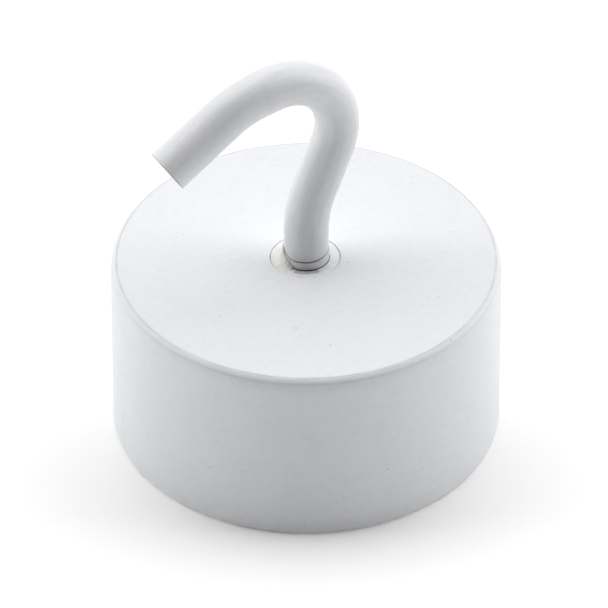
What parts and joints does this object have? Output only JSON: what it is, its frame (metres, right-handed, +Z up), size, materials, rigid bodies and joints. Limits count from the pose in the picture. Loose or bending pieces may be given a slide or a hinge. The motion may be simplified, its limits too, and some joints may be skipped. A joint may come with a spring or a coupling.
{
  "type": "magnet fishing magnet",
  "caption": "Deep round pot magnet, painted white, with a flat working face below and an open wire hook screwed into a bush in the middle of its top.",
  "frame": {"origin": "centre of the working face, which is also the bottom centre of the whole part's box", "axes": "+Z up along the axis of the pot and of the hook's thread; the hook lies in the XZ plane, with its bight towards +X and its tip and open mouth towards -X"},
  "size_m": [0.036, 0.036, 0.0409],
  "materials": {
    "hook_paint": "satin",
    "bush_paint": "gloss",
    "pot_paint": "satin",
    "ferrite": "matte",
    "nylon": "matte",
    "ground_steel": "satin",
    "brass": "satin",
    "resin": "gloss"
  },
  "bodies": {
    "pot": {"pot_shell": "pot_paint", "threaded_bush": "bush_paint", "upper_magnet": "ferrite", "lower_magnet": "ferrite", "centring_tube": "nylon", "centring_ring": "nylon", "pole_plate": "ground_steel", "pole_screw": "brass", "seal_ring": "resin"},
    "hook": {"hook": "hook_paint"}
  },
  "joints": [
    {"name": "hook_turn", "type": "hinge", "parent": "pot", "child": "hook", "pos_m": [0, 0, 0.018], "axis": [0, 0, 1], "range_deg": [-180, 180]}
  ]
}
